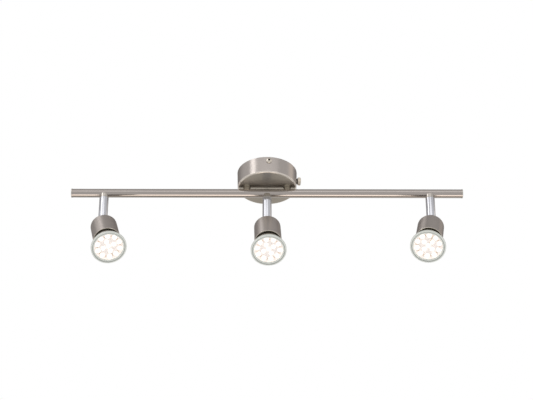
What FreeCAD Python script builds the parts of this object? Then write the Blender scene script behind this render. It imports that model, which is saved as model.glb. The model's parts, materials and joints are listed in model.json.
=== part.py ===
import FreeCAD, Part
import math
import os

# Three-lamp ceiling spot bar: a round canopy, a tube bar on two short posts, three swivel arms
# and three GU10 spot heads.
#
# Frame: millimetres, +Z up. The origin is the centre of the ceiling plane, so everything hangs
# below z = 0. The bar runs along X and the front, to which the heads lean, is -Y.

# ---- Driving dimensions ----
# Canopy, a tapered cup that covers the ceiling box
CANOPY_TOP_R = 43.0
CANOPY_BOTTOM_R = 42.4
CANOPY_HEIGHT = 26.0
CANOPY_WALL = 1.0
CANOPY_EDGE_R = 2.0
CANOPY_TURN = 3.6  # degrees that the canopy's screws are turned from the axes

# Ceiling bracket, a strap along Y with a side arm along +X, and an ear at each of its three ends
STRAP_THICK = 1.5
STRAP_HALF_WIDTH = 10.0
SIDE_ARM_HALF_WIDTH = 7.0
EAR_HALF_WIDTH = 7.5
EAR_OUTER = 40.5  # distance from the centre to an ear's outer face
FRONT_EAR_DEPTH = 11.0
SIDE_EAR_DEPTH = 18.0
SLOT_SPACING = 50.0
SLOT_LENGTH = 12.0
SLOT_HALF_WIDTH = 2.25
CABLE_HOLE_R = 6.0

# Canopy screws
SCREW_R = 2.0
SCREW_INNER_END = 36.0  # distance from the centre to a canopy screw's tip
SIDE_SCREW_Z = -6.6
SIDE_SCREW_HEAD_R = 4.25
SIDE_SCREW_HEAD = 2.7
THUMB_SCREW_Z = -11.6
THUMB_KNOB_R = 5.9
THUMB_KNOB_LENGTH = 6.0
THUMB_KNOB_NECK_R = 4.0
THUMB_KNOB_NECK = 1.2

# Terminal block on the canopy floor
POLE_PITCH = 9.0
POLES = (-1, 0, 1)
BLOCK_FRONT = 2.0
BLOCK_DEPTH = 16.0
BLOCK_HEIGHT = 12.0
BLOCK_SLIT = (1.2, 3.0)  # width and depth of the slits between the poles
WIRE_HOLE_R = 1.7
WIRE_HOLE_Z = -19.0
TERMINAL_SCREW_R = 1.7
TERMINAL_SCREW_SUNK = 1.0
TERMINAL_SLOT = (0.7, 0.9)  # width and depth of its driver slot
EARTH_SCREW_Y = -13.0
EARTH_SCREW_HEAD_R = 3.8
EARTH_SCREW_HEAD = 2.4

# Bar and its posts
BAR_R = 6.25
BAR_BORE_R = 5.25
BAR_LENGTH = 560.0
BAR_Z = -34.5
PLUG_FLANGE_R = 6.5
PLUG_FLANGE = 2.0
PLUG_SPIGOT = 10.0
PLUG_EDGE_R = 0.6
POST_X = 29.0
POST_R = 5.3
INSERT_LENGTH = 14.0
INSERT_FLAT = 1.5  # distance from the bar's axis to an insert's flat
NIPPLE_R = 3.0
NIPPLE_BORE_R = 2.0
NIPPLE_GAP = 1.3  # distance from the bar's axis to a nipple's end
POST_NUT_HEIGHT = 4.0
POST_NUT_FLATS = 10.0
NIPPLE_SHOWS = 1.5  # how far a post nipple stands above its nut

# Wiring that lies inside the canopy and the bar
WIRE_R = 0.8
BUS_R = 0.9
BUS_HALF_LENGTH = 229.0
BUS_Y = 1.1
BUS_Z = BAR_Z + 0.2
LEAD_BEND_R = 2.5

# Swivel arms
ARM_SPACING = 234.5
ARM_R = 6.5
ARM_BORE_R = 4.8
SADDLE_TOP = -3.0  # heights here are measured from the bar's axis
SADDLE_BOTTOM = -9.0
ARM_TOP_WALL = 4.0
ARM_NUT_R = 4.3
ARM_NUT_HEIGHT = 3.0
ARM_NUT_SLOT = (1.2, 1.2)  # width and depth of its driver slot
ARM_NIPPLE_SHOWS = 0.8
PIVOT_DROP = 48.5
TUBE_END = 8.0  # heights from here on are measured from the hinge pivot
FORK_SPIGOT = 8.0
FORK_SLOT_TOP = 5.4
FORK_CHEEK_IN = 2.1
FORK_CHEEK_OUT = 5.2
FORK_STOP_Y = 5.1
HINGE_SCREW_R = 1.5
HINGE_HEAD_R = 2.8
HINGE_HEAD = 1.7
HINGE_HEAD_EDGE_R = 0.5
HINGE_SLOT = (0.8, 0.95)  # width and depth of its driver slot
RUNNING = 0.05  # radial clearance of a turning fit
FACE_GAP = 0.1  # gap between faces that slide on each other

# Hinge tongue and the spot head behind it
TONGUE_HALF_THICK = 1.9
TONGUE_R = 5.0
BACK_DISTANCE = 12.8  # hinge pivot to the outside of the head's back
TONGUE_FLANGE_R = 6.0
TONGUE_FLANGE = 2.0
STUD_R = 3.0
STUD_BORE_R = 1.5
STUD_LENGTH = 8.0
WIRE_EXIT_R = 0.9
TONGUE_NUT_FLATS = 9.0
TONGUE_NUT = 3.0
SHELL_BACK_R = 18.75
SHELL_FRONT_R = 19.2
SHELL_LENGTH = 42.0
SHELL_WALL = 1.2
SHELL_BACK_WALL = 1.5
SHELL_EDGE_R = 2.5

# Lamp holder; every length along the head is measured from the outside of the shell's back
HOLDER_R = 13.0
HOLDER_WEB = 4.0
HOLDER_CHAMBER_R = 7.5
HOLDER_CHAMBER_END = 8.5
HOLDER_FACE_START = 14.0
HOLDER_FRONT = 17.0
PIN_CIRCLE_R = 5.0
PIN_R = 1.6
PIN_HEAD_R = 2.4
PIN_HEAD = 2.5
PIN_TIP = 10.0
PIN_TWIST = 40.0
PIN_ANGLES = (0.0, 180.0)
KEY_CLEARANCE = 0.3

# GU10 lamp
BASE_R = 12.4
CUP_START = 33.0
CUP_NECK_R = 12.5
CUP_SHOULDER = 59.2
CUP_SHOULDER_R = 24.0
RIM_START = 62.0
RIM_R = 25.0
LAMP_FACE = 64.5
RIM_CHAMFER = 0.5
RIM_INNER_R = 20.4
RIM_INNER = 63.4
COVER_SEAT = 62.0
COVER = 1.2
BOARD_SEAT = 58.8
BOARD = 1.5
BOARD_R = 19.5
CUP_FLOOR = 1.5
CUP_INNER_R = 11.0
CHIP_SIDE = 5.0
CHIP_HEIGHT = 1.6
CHIP_RINGS = ((15.8, 10, 0.0), (7.8, 4, 56.0), (0.0, 1, 0.0))  # ring radius, count, phase

# Rest pose of each head: arm position, turn about the arm, tilt from straight down to the front,
# and the turn of the lamp and its holder in the head
HEADS = {
    "left": (-ARM_SPACING, 22.2, 30.9, -3.4),
    "centre": (0.0, 3.9, 26.5, 3.0),
    "right": (ARM_SPACING, -16.0, 31.8, -1.4),
}

CANOPY_FLOOR = -CANOPY_HEIGHT + CANOPY_WALL
PIVOT_Z = BAR_Z - PIVOT_DROP
ARM_STATIONS = [head[0] for head in HEADS.values()]
ORIGIN = FreeCAD.Vector(0, 0, 0)
X_AXIS = FreeCAD.Vector(1, 0, 0)
Y_AXIS = FreeCAD.Vector(0, 1, 0)
Z_AXIS = FreeCAD.Vector(0, 0, 1)


# ---- Shape helpers ----
def block(low, high):
    """A box between two corners."""
    size = [high[i] - low[i] for i in range(3)]
    return Part.makeBox(size[0], size[1], size[2], FreeCAD.Vector(*low))


def upright(radius, z_one, z_two, x=0.0, y=0.0):
    """A vertical cylinder between two heights."""
    return Part.makeCylinder(radius, abs(z_two - z_one), FreeCAD.Vector(x, y, min(z_one, z_two)), Z_AXIS)


def along_x(radius, x_one, x_two, y=0.0, z=0.0):
    """A cylinder along X between two stations."""
    return Part.makeCylinder(radius, abs(x_two - x_one), FreeCAD.Vector(min(x_one, x_two), y, z), X_AXIS)


def along_y(radius, y_one, y_two, x=0.0, z=0.0):
    """A cylinder along Y between two stations."""
    return Part.makeCylinder(radius, abs(y_two - y_one), FreeCAD.Vector(x, min(y_one, y_two), z), Y_AXIS)


def revolved(points, angle=360.0):
    """A solid of revolution about Z from a closed (radius, height) outline."""
    corners = [FreeCAD.Vector(r, 0, z) for r, z in points]
    outline = Part.makePolygon(corners + corners[:1])
    return Part.Face(outline).revolve(ORIGIN, Z_AXIS, angle)


def hexagon(flats, z_low, z_high, x=0.0):
    """A hexagonal prism across its flats."""
    reach = flats / math.sqrt(3)
    turns = [math.radians(60 * i) for i in range(6)]
    corners = [FreeCAD.Vector(x + reach * math.cos(a), reach * math.sin(a), z_low) for a in turns]
    return Part.Face(Part.makePolygon(corners + corners[:1])).extrude(FreeCAD.Vector(0, 0, z_high - z_low))


def turned_about_z(shape, degrees):
    """A copy of the shape turned about the vertical through the origin."""
    copy = shape.copy()
    copy.rotate(ORIGIN, Z_AXIS, degrees)
    return copy


def moved(shape, x=0.0, y=0.0, z=0.0):
    """A copy of the shape moved by an offset."""
    copy = shape.copy()
    copy.translate(FreeCAD.Vector(x, y, z))
    return copy


def round_edges(shape, radius, wanted):
    """The shape with a fillet on each edge for which wanted(edge) holds."""
    return shape.makeFillet(radius, [edge for edge in shape.Edges if wanted(edge)])


def ring_edge(edge, radius, z):
    """True for a full circle of this radius about Z at this height."""
    circle = isinstance(edge.Curve, Part.Circle) and edge.Closed
    return circle and abs(edge.Curve.Radius - radius) < 1e-4 and abs(edge.Curve.Center.z - z) < 1e-4


def lead(points, radius, bend):
    """A round lead through the points, with a tangent arc of the bend radius at each corner."""
    knots = [FreeCAD.Vector(*p) for p in points]
    edges = []
    start = knots[0]
    for before, corner, after in zip(knots, knots[1:], knots[2:]):
        back = (before - corner).normalize()
        ahead = (after - corner).normalize()
        half_angle = back.getAngle(ahead) / 2
        trim = bend / math.tan(half_angle)
        middle = (back + ahead).normalize()
        arc_start = corner + back * trim
        arc_end = corner + ahead * trim
        arc_middle = corner + middle * (bend / math.sin(half_angle) - bend)
        edges.append(Part.LineSegment(start, arc_start).toShape())
        edges.append(Part.Arc(arc_start, arc_middle, arc_end).toShape())
        start = arc_end
    edges.append(Part.LineSegment(start, knots[-1]).toShape())
    path = Part.Wire(edges)
    section = Part.Wire([Part.makeCircle(radius, knots[0], knots[1] - knots[0])])
    return path.makePipeShell([section], True, False)


def save(name, *solids):
    """Write one node, a single solid or a group of separate ones."""
    shape = solids[0] if len(solids) == 1 else Part.makeCompound(list(solids))
    if not shape.isValid():
        raise ValueError(name + " is not a valid shape")
    shape.exportStep("parts/" + name + ".step")


# ---- Canopy and bracket ----
def radial(radius, inner, outer, z, turn):
    """A cylinder that points away from the centre, at a turn from +X."""
    return turned_about_z(along_x(radius, inner, outer, 0.0, z), turn)


def canopy_screw_turns():
    """Directions of the front and back side screws."""
    return (CANOPY_TURN - 90.0, CANOPY_TURN + 90.0)


def canopy_cover():
    outer = revolved([
        (0, -CANOPY_HEIGHT),
        (CANOPY_BOTTOM_R, -CANOPY_HEIGHT),
        (CANOPY_TOP_R, 0),
        (0, 0),
    ])
    outer = round_edges(outer, CANOPY_EDGE_R, lambda e: ring_edge(e, CANOPY_BOTTOM_R, -CANOPY_HEIGHT))
    inner_bottom_r = CANOPY_BOTTOM_R - CANOPY_WALL
    inner = revolved([
        (0, CANOPY_FLOOR),
        (inner_bottom_r, CANOPY_FLOOR),
        (CANOPY_TOP_R - CANOPY_WALL, 0),
        (0, 0),
    ])
    inner = round_edges(inner, CANOPY_EDGE_R - CANOPY_WALL,
                        lambda e: ring_edge(e, inner_bottom_r, CANOPY_FLOOR))
    cover = outer.cut(inner)
    for turn in canopy_screw_turns():
        cover = cover.cut(radial(SCREW_R + RUNNING, SCREW_INNER_END, CANOPY_TOP_R + 1, SIDE_SCREW_Z, turn))
    cover = cover.cut(radial(SCREW_R + RUNNING, SCREW_INNER_END, CANOPY_TOP_R + 1, THUMB_SCREW_Z,
                             CANOPY_TURN))
    for x in (-POST_X, POST_X):
        cover = cover.cut(upright(NIPPLE_R + RUNNING, -CANOPY_HEIGHT - 1, CANOPY_FLOOR + 1, x))
    return cover


def ceiling_bracket():
    ear_inner = EAR_OUTER - STRAP_THICK
    bracket = block((-STRAP_HALF_WIDTH, -EAR_OUTER, -STRAP_THICK), (STRAP_HALF_WIDTH, EAR_OUTER, 0))
    side_arm = block((0, -SIDE_ARM_HALF_WIDTH, -STRAP_THICK), (EAR_OUTER, SIDE_ARM_HALF_WIDTH, 0))
    front_ear = block((-EAR_HALF_WIDTH, -EAR_OUTER, -FRONT_EAR_DEPTH), (EAR_HALF_WIDTH, -ear_inner, 0))
    back_ear = turned_about_z(front_ear, 180)
    side_ear = block((ear_inner, -SIDE_ARM_HALF_WIDTH, -SIDE_EAR_DEPTH),
                     (EAR_OUTER, SIDE_ARM_HALF_WIDTH, 0))
    bracket = bracket.fuse([side_arm, front_ear, back_ear, side_ear])
    # The strap's corners are cut to the round of the canopy.
    bracket = bracket.common(upright(CANOPY_BOTTOM_R - CANOPY_WALL - FACE_GAP, -CANOPY_HEIGHT, 1))
    holes = [upright(CABLE_HOLE_R, -STRAP_THICK - 1, 1)]
    slot_straight = SLOT_LENGTH / 2 - SLOT_HALF_WIDTH
    for centre in (-SLOT_SPACING / 2, SLOT_SPACING / 2):
        near = centre - slot_straight
        far = centre + slot_straight
        holes.append(block((-SLOT_HALF_WIDTH, near, -STRAP_THICK - 1), (SLOT_HALF_WIDTH, far, 1)))
        holes.append(upright(SLOT_HALF_WIDTH, -STRAP_THICK - 1, 1, 0, near))
        holes.append(upright(SLOT_HALF_WIDTH, -STRAP_THICK - 1, 1, 0, far))
    for turn in canopy_screw_turns():
        holes.append(radial(SCREW_R, SCREW_INNER_END, CANOPY_TOP_R, SIDE_SCREW_Z, turn))
    holes.append(radial(SCREW_R + RUNNING, SCREW_INNER_END, CANOPY_TOP_R, THUMB_SCREW_Z, CANOPY_TURN))
    holes.append(upright(SCREW_R, -STRAP_THICK - 1, 1, 0, EARTH_SCREW_Y))
    return bracket.cut(holes).removeSplitter()


def cross_recess(reach, half_width, depth):
    """The cutter for a cross-shaped driver recess that opens along -Z from z = 0."""
    one = block((-reach, -half_width, -depth), (reach, half_width, 1))
    two = block((-half_width, -reach, -depth), (half_width, reach, 1))
    return one.fuse(two)


def driver_slot(reach, slot, top):
    """The cutter for a straight driver slot of (width, depth) along X, in a face at z = top."""
    width, depth = slot
    return block((-reach, -width / 2, top - depth), (reach, width / 2, top + 1))


def pan_head_screw(shaft_r, shaft, head_r, head):
    """A screw along -Z with its head standing on z = 0."""
    dome = round_edges(upright(head_r, 0, head), head * 0.55, lambda e: ring_edge(e, head_r, head))
    recess = moved(cross_recess(head_r * 0.55, head_r * 0.13, head * 0.6), 0, 0, head)
    return dome.cut(recess).fuse(upright(shaft_r, -shaft, 0)).removeSplitter()


def canopy_side_screws():
    screw = pan_head_screw(SCREW_R, CANOPY_TOP_R - SCREW_INNER_END, SIDE_SCREW_HEAD_R, SIDE_SCREW_HEAD)
    screw.rotate(ORIGIN, Y_AXIS, 90)
    placed = moved(screw, CANOPY_TOP_R, 0, SIDE_SCREW_Z)
    return [turned_about_z(placed, turn) for turn in canopy_screw_turns()]


def canopy_thumb_screw():
    neck_end = CANOPY_TOP_R + THUMB_KNOB_NECK
    knob_end = CANOPY_TOP_R + THUMB_KNOB_LENGTH
    knob = along_x(THUMB_KNOB_R, neck_end, knob_end)
    knob = round_edges(knob, 1.0, lambda e: isinstance(e.Curve, Part.Circle) and e.Closed)
    neck = along_x(THUMB_KNOB_NECK_R, CANOPY_TOP_R, neck_end)
    shaft = along_x(SCREW_R, SCREW_INNER_END, CANOPY_TOP_R)
    screw = knob.fuse([neck, shaft]).removeSplitter()
    return turned_about_z(moved(screw, 0, 0, THUMB_SCREW_Z), CANOPY_TURN)


# ---- Electrical parts in the canopy ----
def terminal_screw_places():
    rows = (BLOCK_FRONT + BLOCK_DEPTH * 0.25, BLOCK_FRONT + BLOCK_DEPTH * 0.75)
    return [(pole * POLE_PITCH, y) for pole in POLES for y in rows]


def terminal_block():
    half_length = POLE_PITCH * len(POLES) / 2
    top = CANOPY_FLOOR + BLOCK_HEIGHT
    back = BLOCK_FRONT + BLOCK_DEPTH
    body = block((-half_length, BLOCK_FRONT, CANOPY_FLOOR), (half_length, back, top))
    cuts = []
    for pole in POLES:
        cuts.append(along_y(WIRE_HOLE_R, BLOCK_FRONT - 1, back + 1, pole * POLE_PITCH, WIRE_HOLE_Z))
    for x, y in terminal_screw_places():
        cuts.append(upright(TERMINAL_SCREW_R + RUNNING, WIRE_HOLE_Z, top + 1, x, y))
    slit_width, slit_depth = BLOCK_SLIT
    for split in (-0.5, 0.5):
        low_x = split * POLE_PITCH - slit_width / 2
        cuts.append(block((low_x, BLOCK_FRONT - 1, top - slit_depth),
                          (low_x + slit_width, back + 1, top + 1)))
    return body.cut(cuts)


def terminal_screws():
    low = WIRE_HOLE_Z + WIRE_R
    top = CANOPY_FLOOR + BLOCK_HEIGHT - TERMINAL_SCREW_SUNK
    screw = upright(TERMINAL_SCREW_R, low, top).cut(driver_slot(TERMINAL_SCREW_R, TERMINAL_SLOT, top))
    return [moved(screw, x, y) for x, y in terminal_screw_places()]


def earth_screw():
    screw = pan_head_screw(SCREW_R, STRAP_THICK, EARTH_SCREW_HEAD_R, EARTH_SCREW_HEAD)
    screw.rotate(ORIGIN, X_AXIS, 180)
    return moved(screw, 0, EARTH_SCREW_Y, -STRAP_THICK)


def supply_lead(route, y):
    """A lead from the terminal block down the right post, and the lead that it joins in the bar."""
    drop = lead(route + [(POST_X, y, route[-1][2]), (POST_X, y, BUS_Z)], WIRE_R, LEAD_BEND_R)
    run = along_x(BUS_R, -BUS_HALF_LENGTH, BUS_HALF_LENGTH, y, BUS_Z)
    return drop.fuse(run)


def live_lead():
    x = POLE_PITCH
    return supply_lead([(x, BLOCK_FRONT + 3, WIRE_HOLE_Z), (x, -3, WIRE_HOLE_Z), (17, -4, -8)], BUS_Y)


def neutral_lead():
    x = -POLE_PITCH
    route = [(x, BLOCK_FRONT + 3, WIRE_HOLE_Z), (x, -9, WIRE_HOLE_Z), (0, -9.5, -10), (20, -9.5, -10)]
    return supply_lead(route, -BUS_Y)


def earth_lead():
    return lead([
        (0, BLOCK_FRONT + 3, WIRE_HOLE_Z),
        (0, -7, WIRE_HOLE_Z),
        (0, EARTH_SCREW_Y, -12),
        (0, EARTH_SCREW_Y, -STRAP_THICK - EARTH_SCREW_HEAD),
    ], WIRE_R, LEAD_BEND_R)


# ---- Bar, posts and their fastenings ----
def bar_solid(radius=BAR_R):
    return along_x(radius, -BAR_LENGTH / 2, BAR_LENGTH / 2, 0, BAR_Z)


def bar_tube():
    tube = bar_solid().cut(bar_solid(BAR_BORE_R))
    holes = [upright(NIPPLE_R + RUNNING, BAR_Z - BAR_R - 1, BAR_Z, x) for x in ARM_STATIONS]
    holes += [upright(NIPPLE_R + RUNNING, BAR_Z, BAR_Z + BAR_R + 1, x) for x in (-POST_X, POST_X)]
    return tube.cut(holes)


def bar_end_plug(side):
    end = side * BAR_LENGTH / 2
    flange = along_x(PLUG_FLANGE_R, end, end + side * PLUG_FLANGE, 0, BAR_Z)
    face_x = end + side * PLUG_FLANGE
    flange = round_edges(flange, PLUG_EDGE_R, lambda e: abs(e.CenterOfMass.x - face_x) < 1e-3)
    spigot = along_x(BAR_BORE_R - RUNNING, end, end - side * PLUG_SPIGOT, 0, BAR_Z)
    return flange.fuse(spigot).removeSplitter()


def bar_insert(x, side):
    """A half-moon tapped insert against the bar's wall, below the axis (-1) or above it (1)."""
    half = INSERT_LENGTH / 2
    rod = along_x(BAR_BORE_R - RUNNING, x - half, x + half, 0, BAR_Z)
    keep_from = BAR_Z + side * INSERT_FLAT
    keep_to = BAR_Z + side * BAR_R
    low = min(keep_from, keep_to)
    high = max(keep_from, keep_to)
    piece = rod.common(block((x - half, -BAR_R, low), (x + half, BAR_R, high)))
    return piece.cut(upright(NIPPLE_R, low, high, x))


def bar_post(x):
    post = upright(POST_R, -CANOPY_HEIGHT, BAR_Z + 3, x)
    return post.cut([bar_solid(), upright(NIPPLE_R + RUNNING, -CANOPY_HEIGHT, BAR_Z, x)])


def nipple(x, z_one, z_two):
    return upright(NIPPLE_R, z_one, z_two, x).cut(upright(NIPPLE_BORE_R, z_one, z_two, x))


def post_nipples():
    top = CANOPY_FLOOR + POST_NUT_HEIGHT + NIPPLE_SHOWS
    return [nipple(x, BAR_Z + NIPPLE_GAP, top) for x in (-POST_X, POST_X)]


def post_nuts():
    nuts = []
    for x in (-POST_X, POST_X):
        nut = hexagon(POST_NUT_FLATS, CANOPY_FLOOR, CANOPY_FLOOR + POST_NUT_HEIGHT, x)
        nuts.append(nut.cut(upright(NIPPLE_R, CANOPY_FLOOR - 1, CANOPY_FLOOR + POST_NUT_HEIGHT + 1, x)))
    return nuts


# ---- Swivel of each arm ----
ARM_TOP_Z = BAR_Z + SADDLE_BOTTOM - FACE_GAP
ARM_NUT_TOP_Z = ARM_TOP_Z - ARM_TOP_WALL - FACE_GAP


def swivel_saddle(x):
    ring = upright(ARM_R, BAR_Z + SADDLE_TOP, BAR_Z + SADDLE_BOTTOM, x)
    return ring.cut([bar_solid(), upright(NIPPLE_R + RUNNING, BAR_Z, BAR_Z + SADDLE_BOTTOM - 1, x)])


def swivel_nipple(x):
    return nipple(x, BAR_Z - NIPPLE_GAP, ARM_NUT_TOP_Z - ARM_NUT_HEIGHT - ARM_NIPPLE_SHOWS)


def swivel_nut(x):
    """The nut, with the driver slot in its lower face."""
    nut = upright(ARM_NUT_R, 0, ARM_NUT_HEIGHT).cut(upright(NIPPLE_R, 0, ARM_NUT_HEIGHT))
    nut = nut.cut(driver_slot(ARM_NUT_R, ARM_NUT_SLOT, ARM_NUT_HEIGHT))
    nut.rotate(ORIGIN, X_AXIS, 180)
    return moved(nut, x, 0, ARM_NUT_TOP_Z)


# ---- Arm and head parts, each about its own hinge pivot with the head straight down ----
def arm_tube():
    """The arm's tube, with its pivot at the origin."""
    top = ARM_TOP_Z - PIVOT_Z
    tube = upright(ARM_R, TUBE_END, top)
    bore = upright(ARM_BORE_R, TUBE_END, top - ARM_TOP_WALL)
    hole = upright(NIPPLE_R + RUNNING, top - ARM_TOP_WALL - 1, top + 1)
    return tube.cut([bore, hole])


def arm_fork():
    """The forked end that is pressed into the tube and carries the hinge screw."""
    spigot = upright(ARM_BORE_R, TUBE_END, TUBE_END + FORK_SPIGOT)
    body = upright(ARM_R, -ARM_R, TUBE_END)
    # The cheeks end in a round about the hinge axis.
    below = block((-ARM_R, -ARM_R, -ARM_R), (ARM_R, ARM_R, 0))
    below = below.cut(along_x(ARM_R, -ARM_R, ARM_R))
    cheek_flats = [
        block((side * FORK_CHEEK_OUT if side > 0 else -ARM_R, -ARM_R, -ARM_R),
              (ARM_R if side > 0 else side * FORK_CHEEK_OUT, ARM_R, FORK_SLOT_TOP))
        for side in (-1, 1)
    ]
    slot = block((-FORK_CHEEK_IN, -ARM_R, -ARM_R), (FORK_CHEEK_IN, FORK_STOP_Y, FORK_SLOT_TOP))
    low_slot = block((-FORK_CHEEK_IN, 0, -ARM_R), (FORK_CHEEK_IN, ARM_R, 0))
    wire_bore = upright(NIPPLE_BORE_R, FORK_SLOT_TOP - 1, TUBE_END + FORK_SPIGOT + 1)
    near_hole = along_x(HINGE_SCREW_R + RUNNING, 0, ARM_R)
    tapped_hole = along_x(HINGE_SCREW_R, -ARM_R, 0)
    fork = body.cut(below).fuse(spigot)
    return fork.cut(cheek_flats + [slot, low_slot, wire_bore, near_hole, tapped_hole]).removeSplitter()


def hinge_screw():
    head = round_edges(upright(HINGE_HEAD_R, 0, HINGE_HEAD), HINGE_HEAD_EDGE_R,
                       lambda e: ring_edge(e, HINGE_HEAD_R, HINGE_HEAD))
    head = head.cut(driver_slot(HINGE_HEAD_R, HINGE_SLOT, HINGE_HEAD))
    screw = head.fuse(upright(HINGE_SCREW_R, -2 * FORK_CHEEK_OUT, 0))
    screw.rotate(ORIGIN, Y_AXIS, 90)
    return moved(screw.removeSplitter(), FORK_CHEEK_OUT)


def hinge_tongue():
    flange_top = -BACK_DISTANCE + TONGUE_FLANGE
    plate = block((-TONGUE_HALF_THICK, -TONGUE_R, flange_top), (TONGUE_HALF_THICK, TONGUE_R, 0))
    eye = along_x(TONGUE_R, -TONGUE_HALF_THICK, TONGUE_HALF_THICK)
    flange = upright(TONGUE_FLANGE_R, flange_top, -BACK_DISTANCE)
    stud_end = -BACK_DISTANCE - STUD_LENGTH
    stud = upright(STUD_R, -BACK_DISTANCE, stud_end)
    tongue = plate.fuse([eye, flange, stud])
    cuts = [
        along_x(HINGE_SCREW_R + RUNNING, -TONGUE_R, TONGUE_R),
        upright(STUD_BORE_R, stud_end, flange_top + 1),
        along_x(WIRE_EXIT_R, -TONGUE_R, TONGUE_R, 0, flange_top + 1),
    ]
    return tongue.cut(cuts).removeSplitter()


def along_head(distance):
    """Height, about the pivot, of a station on the head's axis."""
    return -BACK_DISTANCE - distance


def tongue_nut():
    low = along_head(HOLDER_WEB + TONGUE_NUT)
    high = along_head(HOLDER_WEB)
    return hexagon(TONGUE_NUT_FLATS, low, high).cut(upright(STUD_R, low, high))


def head_shell():
    outer = revolved([
        (0, along_head(0)),
        (SHELL_BACK_R, along_head(0)),
        (SHELL_FRONT_R, along_head(SHELL_LENGTH)),
        (0, along_head(SHELL_LENGTH)),
    ])
    outer = round_edges(outer, SHELL_EDGE_R, lambda e: ring_edge(e, SHELL_BACK_R, along_head(0)))
    inner_back_r = SHELL_BACK_R - SHELL_WALL
    inner = revolved([
        (0, along_head(SHELL_BACK_WALL)),
        (inner_back_r, along_head(SHELL_BACK_WALL)),
        (SHELL_FRONT_R - SHELL_WALL, along_head(SHELL_LENGTH)),
        (0, along_head(SHELL_LENGTH)),
    ])
    inner = round_edges(inner, SHELL_EDGE_R - SHELL_WALL,
                        lambda e: ring_edge(e, inner_back_r, along_head(SHELL_BACK_WALL)))
    return outer.cut([inner, upright(STUD_R + RUNNING, along_head(-1), along_head(SHELL_BACK_WALL + 1))])


def arc_slot(half_width, angle, near, far):
    """The cutter of a slot that a pin follows from its locked angle to its entry angle."""
    low = along_head(far)
    high = along_head(near)
    sector = revolved([
        (PIN_CIRCLE_R - half_width, low),
        (PIN_CIRCLE_R + half_width, low),
        (PIN_CIRCLE_R + half_width, high),
        (PIN_CIRCLE_R - half_width, high),
    ], PIN_TWIST)
    sector = turned_about_z(sector, angle - PIN_TWIST)
    end = upright(half_width, low, high, PIN_CIRCLE_R)
    return sector.fuse([turned_about_z(end, angle), turned_about_z(end, angle - PIN_TWIST)])


def lamp_holder():
    holder = upright(HOLDER_R, along_head(SHELL_BACK_WALL), along_head(HOLDER_FRONT))
    cuts = [
        upright(STUD_R + RUNNING, along_head(0), along_head(HOLDER_WEB + 1)),
        upright(HOLDER_CHAMBER_R, along_head(HOLDER_WEB), along_head(HOLDER_CHAMBER_END)),
    ]
    for angle in PIN_ANGLES:
        channel = arc_slot(PIN_HEAD_R + KEY_CLEARANCE, angle, HOLDER_CHAMBER_END, HOLDER_FACE_START)
        neck = arc_slot(PIN_R + KEY_CLEARANCE, angle, HOLDER_FACE_START - 1, HOLDER_FRONT + 1)
        entry = upright(PIN_HEAD_R + KEY_CLEARANCE, along_head(HOLDER_CHAMBER_END),
                        along_head(HOLDER_FRONT + 1), PIN_CIRCLE_R)
        cuts += [channel, neck, turned_about_z(entry, angle - PIN_TWIST)]
    return holder.cut(cuts)


def bulb_cup():
    outline = [
        (0, CUP_START),
        (CUP_NECK_R, CUP_START),
        (CUP_SHOULDER_R, CUP_SHOULDER),
        (RIM_R, RIM_START),
        (RIM_R, LAMP_FACE - RIM_CHAMFER),
        (RIM_R - RIM_CHAMFER, LAMP_FACE),
        (RIM_INNER_R, RIM_INNER),
        (RIM_INNER_R, COVER_SEAT),
        (BOARD_R + FACE_GAP, COVER_SEAT),
        (BOARD_R + FACE_GAP, BOARD_SEAT),
        (BOARD_R - 1.0, BOARD_SEAT),
        (CUP_INNER_R, CUP_START + CUP_FLOOR),
        (0, CUP_START + CUP_FLOOR),
    ]
    return revolved([(r, along_head(s)) for r, s in outline])


def bulb_base():
    back = HOLDER_FRONT + FACE_GAP
    base = upright(BASE_R, along_head(back), along_head(CUP_START))
    return round_edges(base, 1.0, lambda e: ring_edge(e, BASE_R, along_head(back)))


def bulb_pins():
    shaft = upright(PIN_R, along_head(PIN_TIP), along_head(HOLDER_FRONT + FACE_GAP), PIN_CIRCLE_R)
    head = upright(PIN_HEAD_R, along_head(PIN_TIP), along_head(PIN_TIP + PIN_HEAD), PIN_CIRCLE_R)
    pin = shaft.fuse(head).removeSplitter()
    return [turned_about_z(pin, angle) for angle in PIN_ANGLES]


def led_board():
    return upright(BOARD_R, along_head(BOARD_SEAT), along_head(BOARD_SEAT + BOARD))


def led_chips():
    half = CHIP_SIDE / 2
    face = BOARD_SEAT + BOARD
    chips = []
    for ring_r, count, phase in CHIP_RINGS:
        chip = block((ring_r - half, -half, along_head(face + CHIP_HEIGHT)),
                     (ring_r + half, half, along_head(face)))
        chips += [turned_about_z(chip, phase + 360.0 * i / count) for i in range(count)]
    return chips


def bulb_cover():
    return upright(RIM_INNER_R - RUNNING, along_head(COVER_SEAT), along_head(COVER_SEAT + COVER))


# ---- Placing and writing ----
def on_arm(shape, head):
    """Turn a part about its arm and hang it at the arm's hinge pivot."""
    return moved(turned_about_z(shape, head[1]), head[0], 0, PIVOT_Z)


def on_head(shape, head):
    """Tilt a part with its head, then place it as the arm's parts are."""
    tilted = shape.copy()
    tilted.rotate(ORIGIN, X_AXIS, -head[2])
    return on_arm(tilted, head)


def in_head(shape, head):
    """Turn a part of the lamp or its holder in the head, then place it with the head."""
    return on_head(turned_about_z(shape, head[3]), head)


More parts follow.
